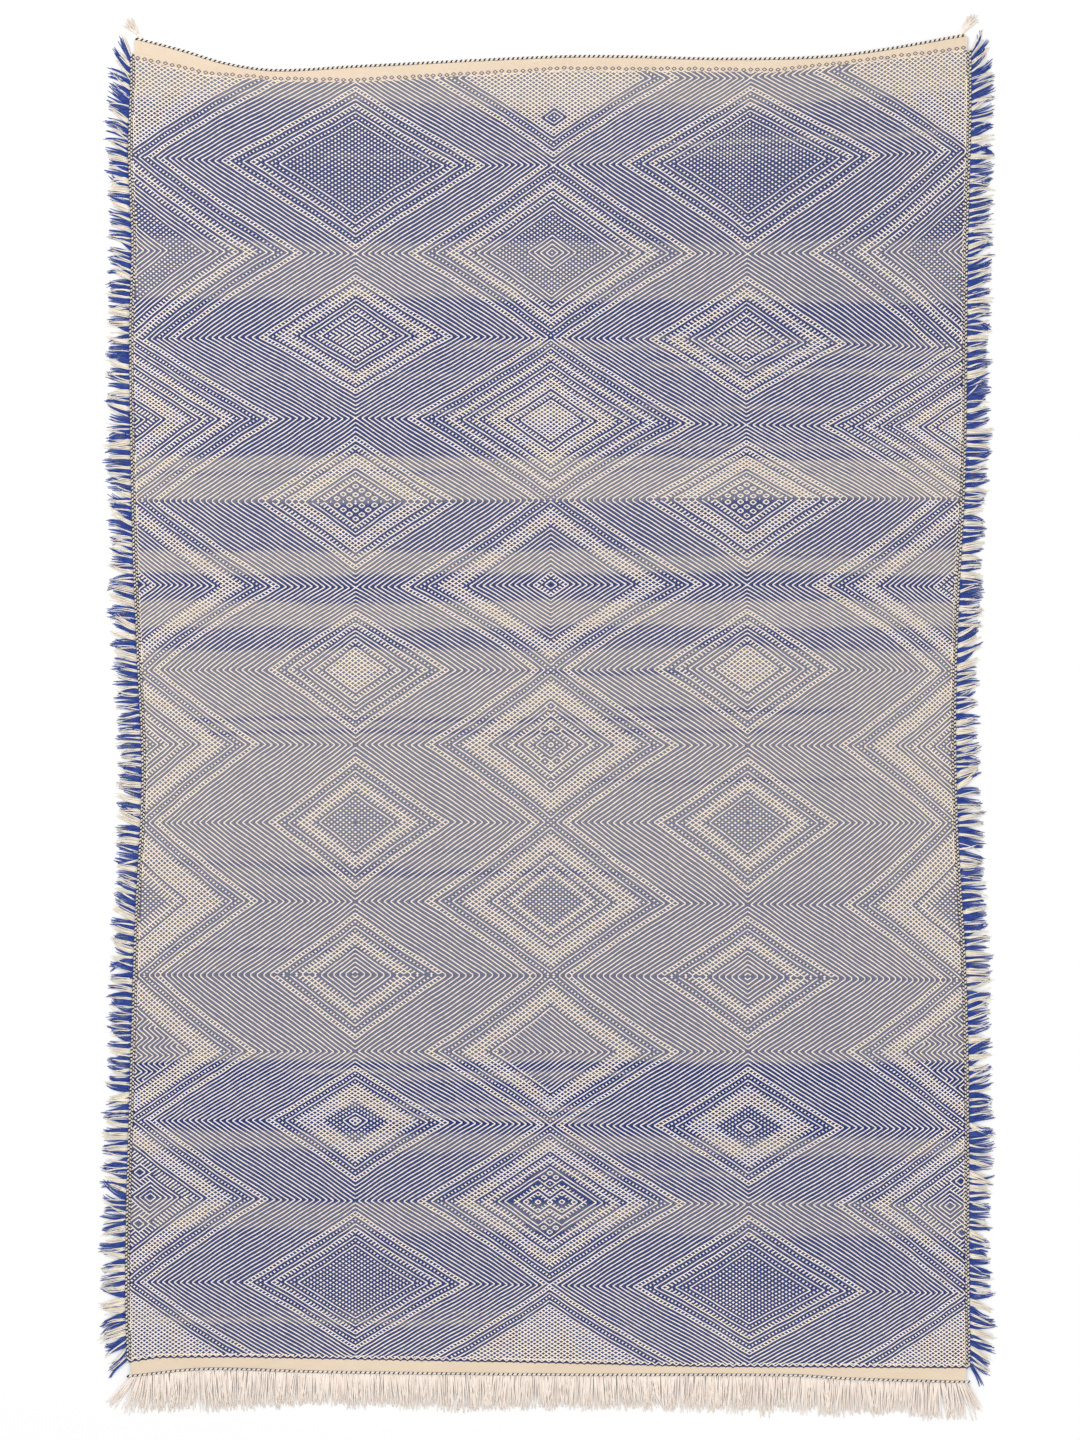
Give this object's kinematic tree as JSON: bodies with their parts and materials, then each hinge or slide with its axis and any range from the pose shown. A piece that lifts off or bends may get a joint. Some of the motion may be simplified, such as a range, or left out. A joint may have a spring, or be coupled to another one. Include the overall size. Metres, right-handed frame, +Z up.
{
  "type": "flatwoven kilim rug",
  "caption": "Long flatwoven Moroccan kilim lying flat, blue and ivory diamond weave, twined cord borders, cut side fringe, warp fringe on one end and corner tassels.",
  "frame": {"origin": "on the floor, below the middle of the rug's overall size, fringes included", "axes": "+X across the rug's width, +Y along its length towards the end with the corner tassels, +Z up from the floor it lies on"},
  "size_m": [1.5878, 2.495, 0.0034],
  "materials": {
    "weave": "flat woven wool and cotton in blue and ivory, matte",
    "twined": "two-colour twined wool, matte",
    "side_fringe": "cut yarn ends in royal blue and ivory, matte",
    "ivory": "undyed ivory cotton yarn, matte"
  },
  "bodies": {
    "root": {"kilim_cloth": "weave", "twined_cord_tassel_end": "twined", "twined_cord_fringe_end": "twined", "selvedge_left": "twined", "selvedge_right": "twined", "side_fringe_left": "side_fringe", "side_fringe_right": "side_fringe", "warp_fringe": "ivory", "corner_tassel_left": "ivory", "corner_tassel_right": "ivory"}
  },
  "joints": []
}
